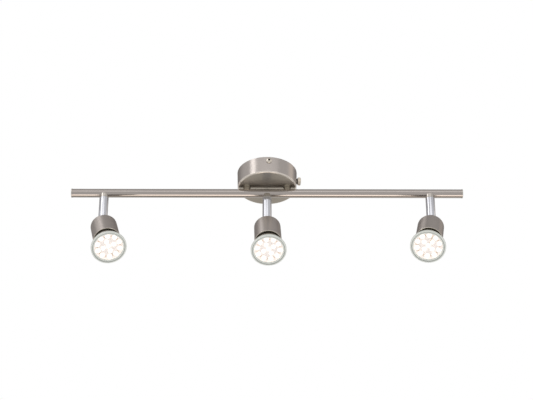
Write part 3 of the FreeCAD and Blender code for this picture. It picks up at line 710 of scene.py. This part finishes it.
# ---- Arms ----
def make_arm(side):
    node = "arm_tube_" + side
    pivot_x = joints["swivel_" + side]["pos_m"][0]
    low, high = span(node)
    radius = (high.x - low.x) / 2
    bottom = low.z
    outline = rounded([
        (STUD_HOLE_R, high.z - ARM_TOP, 0),
        (ARM_BORE_R, high.z - ARM_TOP, 0),
        (ARM_BORE_R, bottom, 0),
        (radius, bottom, 0.2 * MM),
        (radius, high.z, 0.3 * MM),
        (STUD_HOLE_R, high.z, 0),
    ])
    outline = [(r, z - bottom) for r, z in outline]
    arm = turned("arm_" + side, outline, 96, closed=True)
    finish_with(arm, arm_chrome)
    place(arm, Matrix.Translation((pivot_x, 0, bottom)), "arm_" + side, node)


# ---- Heads ----
def head_matrix(side):
    """The head's own frame: origin at the tilt pivot, -Z along the head towards the lamp's face."""
    tilt = joints["tilt_" + side]
    twist = joints["lamp_twist_" + side]
    return axes_matrix(-Vector(tilt["axis"]), -Vector(twist["axis"]), tilt["pos_m"])


def make_shell(side, matrix):
    node = "head_shell_" + side
    low, high = span(node, matrix.inverted())
    front_r = high.x
    back_r = front_r - SHELL_TAPER
    back = high.z
    front = low.z
    outline = rounded([
        (STUD_HOLE_R, back - SHELL_BACK_WALL, 0),
        (back_r - SHELL_WALL, back - SHELL_BACK_WALL, SHELL_EDGE - SHELL_WALL),
        (front_r - SHELL_WALL, front, 0.25 * MM),
        (front_r - 0.25 * MM, front, 0.2 * MM),
        (front_r, front + 0.35 * MM, 0.2 * MM),
        (back_r, back, SHELL_EDGE),
        (STUD_HOLE_R, back, 0),
    ], 8)
    lip = front + 0.6 * MM

    def zone_of(k):
        # The front lip takes the brighter edge nickel, a painted highlight line.
        return 1 if max(outline[k][1], outline[(k + 1) % len(outline)][1]) < lip else 0

    shell = turned("shell_" + side, outline, ROUND_LARGE, closed=True, zone_of=zone_of)
    finish_with(shell, head_nickel, edge_highlight_nickel)
    place(shell, matrix, "head_" + side, node)


# ---- Lamps ----
def make_lamp_glass(side, matrix):
    """The reflector lamp's glass: a cone with a thick moulded rim round the clear front."""
    node = "bulb_cup_" + side
    low, high = span(node, matrix.inverted())
    rim_r = high.x
    face = low.z
    neck = high.z
    neck_r = rim_r * 0.5
    corners = [
        (0, neck, 0),
        (neck_r, neck, 0.5 * MM),
        (rim_r * 0.955, face + 5.4 * MM, 6 * MM),
        (rim_r, face + 2.6 * MM, 0.8 * MM),
        (rim_r, face + 0.7 * MM, 0.6 * MM),
        (rim_r * 0.972, face, 0.55 * MM),
        (rim_r * 0.935, face + 0.1 * MM, 0.4 * MM),
        (rim_r * 0.905, face + 0.5 * MM, 0),
        (rim_r * 0.87, face + 0.95 * MM, 0.5 * MM),
        (rim_r * 0.84, face + 0.95 * MM, 0.2 * MM),
        (rim_r * 0.825, face + 1.7 * MM, 0.2 * MM),
        (rim_r * 0.80, face + 1.9 * MM, 0.2 * MM),
        (rim_r * 0.775, face + 5.8 * MM, 0.3 * MM),
        (rim_r * 0.44, neck - 1.5 * MM, 0.3 * MM),
        (0, neck - 1.5 * MM, 0),
    ]
    outline = rounded(corners, 5)
    rim_from = face + 4.6 * MM

    def zone_of(k):
        (r_one, z_one), (r_two, z_two) = outline[k], outline[k + 1]
        r = (r_one + r_two) / 2
        z = (z_one + z_two) / 2
        # The inside of the cup takes the inner glass with its painted glow.
        if r < rim_r * INNER_TO and k > len(outline) // 2:
            return 2
        # The step inside the rim takes the darker step glass, painted shade.
        if rim_r * STEP_FROM < r < rim_r * STEP_TO and z < face + 1.0 * MM:
            return 3
        return 0 if z < rim_from else 1

    cup = turned("lamp_glass_" + side, outline, ROUND_LARGE, zone_of=zone_of)
    finish_with(cup, lamp_rim_glass, lamp_back_glass, lamp_inner, lamp_rim_step_shade)
    place(cup, matrix, "lamp_" + side, node)


def make_lamp_base(side, matrix):
    """The ceramic base, with the shallow cooling grooves that such bases have."""
    node = "bulb_base_" + side
    low, high = span(node, matrix.inverted())
    radius = high.x
    corners = [(0, high.z, 0), (radius, high.z, 1.0 * MM)]
    grooves = 3
    start = high.z - 4.0 * MM
    pitch = 3.4 * MM
    for i in range(grooves):
        z = start - i * pitch
        corners += [
            (radius, z, 0.25 * MM),
            (radius - 0.7 * MM, z - 0.35 * MM, 0.2 * MM),
            (radius - 0.7 * MM, z - 1.15 * MM, 0.2 * MM),
            (radius, z - 1.5 * MM, 0.25 * MM),
        ]
    corners += [(radius, low.z, BLEND), (0, low.z, 0)]
    base = turned("lamp_base_" + side, rounded(corners, 4), ROUND)
    finish_with(base, lamp_base_ceramic)
    place(base, matrix, "lamp_" + side, node)


def make_lamp_front(side, matrix):
    node = "bulb_cover_" + side
    low, high = span(node, matrix.inverted())
    radius = high.x
    outline = rounded([
        (0, high.z, 0),
        (radius, high.z, 0.1 * MM),
        (radius, low.z, 0.3 * MM),
        (0, low.z, 0),
    ])
    cover = turned("lamp_front_" + side, outline, ROUND_LARGE)
    finish_with(cover, cover_glass)
    place(cover, matrix, "lamp_" + side, node)


def glowing_board(side, matrix):
    """White board that glows round every lit chip."""
    nodes = Nodes("led_board_" + side)
    nearest = None
    for middle, _, low_z, _ in chip_places(side, matrix):
        reach = nodes.tree.nodes.new("ShaderNodeVectorMath")
        reach.operation = "DISTANCE"
        reach.inputs[1].default_value = (middle.x, middle.y, low_z)
        nodes.link(nodes.coords, reach.inputs[0])
        distance = reach.outputs["Value"]
        nearest = nodes.maths("MINIMUM", nearest, distance) if nearest else distance
    glow = nodes.tree.nodes.new("ShaderNodeMapRange")
    glow.interpolation_type = "SMOOTHSTEP"
    glow.inputs["From Min"].default_value = GLOW_R + GLOW_FADE
    glow.inputs["From Max"].default_value = GLOW_R
    glow.inputs["To Min"].default_value = GLOW_AWAY
    glow.inputs["To Max"].default_value = GLOW_BESIDE
    nodes.link(nearest, glow.inputs["Value"])
    skin = nodes.noise(nodes.stretched((1500.0,) * 3))
    tint = nodes.blend(nodes.spread(skin, 0.0, 1.0), (0.72, 0.66, 0.64), (0.78, 0.72, 0.70))
    nodes.feed(Base_Color=tint, Roughness=nodes.spread(skin, 0.4, 0.55), Emission_Strength=glow.outputs[0])
    nodes.bump(skin, 0.1, 0.02 * MM)
    return nodes.set(Emission_Color=(1.0, 0.92, 0.885, 1.0)).material


def make_board(side, matrix):
    node = "led_board_" + side
    low, high = span(node, matrix.inverted())
    radius = high.x
    outline = rounded([
        (0, high.z, 0),
        (radius, high.z, 0.1 * MM),
        (radius, low.z, 0.1 * MM),
        (0, low.z, 0),
    ])
    board = turned("lamp_board_" + side, outline, ROUND)
    finish_with(board, glowing_board(side, matrix))
    place(board, matrix, "lamp_" + side, node)


def chip_places(side, matrix):
    """Middle, turn, lowest and highest z of every chip, read from the CAD chips."""
    inverse = matrix.inverted()
    mesh = frame["nodes"]["led_chips_" + side].data
    points = [inverse @ vertex.co for vertex in mesh.vertices]
    parent = list(range(len(points)))

    def root(i):
        while parent[i] != i:
            i = parent[i]
        return i

    keys = {}
    for i, point in enumerate(points):
        keys.setdefault(tuple(round(c, 6) for c in point), []).append(i)
    for same in keys.values():
        for i in same[1:]:
            parent[root(i)] = root(same[0])
    for edge in mesh.edges:
        parent[root(edge.vertices[0])] = root(edge.vertices[1])
    groups = {}
    for i, point in enumerate(points):
        groups.setdefault(root(i), []).append(point)
    places = []
    for group in groups.values():
        low = Vector([min(p[k] for p in group) for k in range(3)])
        high = Vector([max(p[k] for p in group) for k in range(3)])
        places.append(((low + high) / 2, math.atan2((low + high).y, (low + high).x), low.z, high.z))
    return places


def chip_rings(half, height):
    """Rings of one chip from its foot to the middle of its lit window, as (points, height, zone)."""
    count = 32
    window = half * 0.80

    def square(size, corner):
        ring = []
        for i in range(count):
            angle = 2 * math.pi * (i + 0.5) / count
            x, y = math.cos(angle), math.sin(angle)
            reach = size / max(abs(x), abs(y))
            reach = min(reach, size * math.sqrt(2) - corner * 0.6)
            ring.append((x * reach, y * reach))
        return ring

    def circle(size):
        angles = [2 * math.pi * (i + 0.5) / count for i in range(count)]
        return [(size * math.cos(angle), size * math.sin(angle)) for angle in angles]

    return [
        (square(half, 0.3 * MM), 0.0, 0),
        (square(half, 0.3 * MM), height - 0.15 * MM, 0),
        (square(half - 0.15 * MM, 0.3 * MM), height, 0),
        (circle(window), height, 0),
        (circle(window * 0.93), height - 0.3 * MM, 1),
        (circle(window * 0.45), height - 0.22 * MM, 1),
    ]


def make_chips(side, matrix):
    """Square chips with a round lit window, and bare copper between the outer ones."""
    vertices = []
    faces = []
    zones = []
    chips = chip_places(side, matrix)
    for middle, angle, low_z, high_z in chips:
        turn = Matrix.Rotation(angle, 3, "Z")
        rings = []
        for ring, up, zone in chip_rings(CHIP_HALF, high_z - low_z):
            rings.append(([len(vertices) + i for i in range(len(ring))], zone))
            for x, y in ring:
                point = turn @ Vector((x, y, 0))
                vertices.append((middle.x + point.x, middle.y + point.y, high_z - up))
        for (low, _), (high, zone) in zip(rings, rings[1:]):
            for i in range(len(low)):
                j = (i + 1) % len(low)
                faces.append([low[j], low[i], high[i], high[j]])
                zones.append(zone)
        faces.append(rings[-1][0][::-1])
        zones.append(1)

    def copper_strip(angle, near, far, board_z):
        along = Vector((math.cos(angle), math.sin(angle)))
        across = Vector((-along.y, along.x)) * COPPER_WIDTH / 2
        outline = [along * near - across, along * far - across, along * far + across, along * near + across]
        base = len(vertices)
        for up in (0.0, COPPER_THICK):
            vertices.extend((point.x, point.y, board_z - up) for point in outline)
        for i in range(4):
            j = (i + 1) % 4
            faces.append([base + j, base + i, base + 4 + i, base + 4 + j])
        faces.append([base + 7, base + 6, base + 5, base + 4])
        faces.append([base, base + 1, base + 2, base + 3])
        zones.extend([2] * 6)

    outer_r = max(middle.xy.length for middle, *_ in chips)
    outer = sorted(angle % (2 * math.pi) for middle, angle, *_ in chips if middle.xy.length > 0.9 * outer_r)
    board_z = chips[0][3]
    step = 2 * math.pi / len(outer)
    for k, angle in enumerate(outer):
        near = COPPER_LONG_NEAR if k == LONG_COPPER[side] else COPPER_NEAR
        copper_strip(angle + step / 2, near, COPPER_FAR, board_z)
    piece = add_piece("lamp_chips_" + side, vertices, faces, zones=zones)
    finish_with(piece, led_package, led_lit, led_copper)
    place(piece, matrix, "lamp_" + side, "led_chips_" + side)


# ---- Studio ----
BASE_LIGHT = (0.62, 0.60, 0.59)
# Azimuth from the front towards +X, elevation, full to this angle, gone by this angle, and the
# colour added to the base light. Below zero, the studio is darker there.
SOFT_LIGHTS = [
    (-108, 60, 8, 22, (0.48, 0.46, 0.45)),
    (108, 33, 5, 16, (0.40, 0.32, 0.24)),
    (0, -86, 10, 23, (1.30, 1.10, 0.94)),
    (180, -64, 12, 26, (-0.40, -0.40, -0.41)),
    (180, -33, 12, 24, (0.10, 0.09, 0.06)),
    (180, 45, 25, 60, (-0.38, -0.38, -0.38)),
]
DARKEST = (0.05, 0.05, 0.05)
# Soft boxes: name, centre, aim, width and height, radiance
SOFT_BOXES = [
    ("left", (-0.70, -0.50, 0.53), (0, -0.04, 0), (0.30, 0.50), (1.80, 1.75, 1.73)),
    ("high", (0, -0.70, 0.30), (0, 0, 0), (1.2, 0.20), (0.60, 0.58, 0.57)),
]


def bearing(azimuth, elevation):
    """Direction at this azimuth from the front towards +X, and this elevation, in degrees."""
    a = math.radians(azimuth)
    e = math.radians(elevation)
    return Vector((math.sin(a) * math.cos(e), -math.cos(a) * math.cos(e), math.sin(e)))


def make_world():
    """Plain white behind the object, and soft light round it with large dim and bright areas."""
    world = bpy.data.worlds.new("studio")
    scene.world = world
    world.use_nodes = True
    tree = world.node_tree
    tree.nodes.clear()
    links = tree.links
    direction = tree.nodes.new("ShaderNodeTexCoord").outputs["Generated"]
    total = None
    for azimuth, elevation, inner, outer, colour in SOFT_LIGHTS:
        facing = tree.nodes.new("ShaderNodeVectorMath")
        facing.operation = "DOT_PRODUCT"
        facing.inputs[1].default_value = bearing(azimuth, elevation)
        links.new(direction, facing.inputs[0])
        edge = tree.nodes.new("ShaderNodeMapRange")
        edge.interpolation_type = "SMOOTHSTEP"
        edge.inputs["From Min"].default_value = math.cos(math.radians(outer))
        edge.inputs["From Max"].default_value = math.cos(math.radians(inner))
        links.new(facing.outputs["Value"], edge.inputs["Value"])
        scaled = tree.nodes.new("ShaderNodeVectorMath")
        scaled.operation = "SCALE"
        scaled.inputs[0].default_value = colour
        links.new(edge.outputs[0], scaled.inputs["Scale"])
        added = tree.nodes.new("ShaderNodeVectorMath")
        added.operation = "ADD"
        links.new(scaled.outputs[0], added.inputs[0])
        if total is None:
            added.inputs[1].default_value = BASE_LIGHT
        else:
            links.new(total, added.inputs[1])
        total = added.outputs[0]
    limited = tree.nodes.new("ShaderNodeVectorMath")
    limited.operation = "MAXIMUM"
    limited.inputs[1].default_value = DARKEST
    links.new(total, limited.inputs[0])
    studio = tree.nodes.new("ShaderNodeBackground")
    links.new(limited.outputs[0], studio.inputs["Color"])
    backdrop = tree.nodes.new("ShaderNodeBackground")
    backdrop.inputs["Color"].default_value = (1.0, 1.0, 1.0, 1.0)
    path = tree.nodes.new("ShaderNodeLightPath")
    mix = tree.nodes.new("ShaderNodeMixShader")
    links.new(path.outputs["Is Camera Ray"], mix.inputs[0])
    links.new(studio.outputs[0], mix.inputs[1])
    links.new(backdrop.outputs[0], mix.inputs[2])
    output = tree.nodes.new("ShaderNodeOutputWorld")
    links.new(mix.outputs[0], output.inputs["Surface"])


def make_soft_boxes():
    for name, centre, aim, size, radiance in SOFT_BOXES:
        strength = max(radiance)
        data = bpy.data.lights.new("soft_box_" + name, "AREA")
        data.shape = "RECTANGLE"
        data.size, data.size_y = size
        data.color = [c / strength for c in radiance]
        # A lambertian panel of this radiance and area gives this power.
        data.energy = strength * math.pi * size[0] * size[1]
        light = bpy.data.objects.new("soft_box_" + name, data)
        light.location = centre
        light.rotation_mode = "QUATERNION"
        light.rotation_quaternion = (Vector(aim) - Vector(centre)).to_track_quat("-Z", "Y")
        light.visible_camera = False
        scene.collection.objects.link(light)


def make_floor():
    # The floor is left out of reflections, so the metal shows the soft light alone.
    floor = turned("floor", [(0, -0.01), (FLOOR_R, -0.01), (FLOOR_R, 0), (0, 0)], ROUND)
    floor.location = (0, 0, FLOOR_Z)
    finish_with(floor, plain("floor_white", (0.93, 0.93, 0.93), 0.8, 4.0, 0.01,
                             Emission_Color=(1.0, 1.0, 1.0, 1.0), Emission_Strength=0.35))
    floor.visible_glossy = False
    floor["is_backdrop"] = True


def make_camera():
    data = bpy.data.cameras.new("camera")
    data.lens = LENS_MM
    data.sensor_width = SENSOR_MM
    data.clip_start = 0.05
    data.clip_end = 200.0
    camera = bpy.data.objects.new("camera", data)
    scene.collection.objects.link(camera)
    back = Vector((0, -math.cos(CAMERA_BELOW), -math.sin(CAMERA_BELOW)))
    camera.location = CAMERA_AIM + back * CAMERA_DISTANCE
    camera.rotation_mode = "QUATERNION"
    level = (-back).to_track_quat("-Z", "Y")
    camera.rotation_quaternion = level @ Quaternion((0, 0, 1), CAMERA_ROLL)
    scene.camera = camera


canopy_r = make_canopy()
make_canopy_screws(canopy_r)
make_thumb_screw()
bar_r, bar_centre = make_bar()
make_end_plugs(bar_centre)
make_posts(bar_r, bar_centre)
make_saddles(bar_r, bar_centre)
for side in SIDES:
    make_arm(side)
    to_row = head_matrix(side)
    make_shell(side, to_row)
    make_lamp_glass(side, to_row)
    make_lamp_base(side, to_row)
    make_lamp_front(side, to_row)
    make_board(side, to_row)
    make_chips(side, to_row)

make_world()
make_soft_boxes()
make_floor()
make_camera()
scene.view_settings.view_transform = "Standard"

boxes = {"cad": cad_box, "visual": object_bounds()}
{name: [list(low), list(high)] for name, (low, high) in boxes.items()}
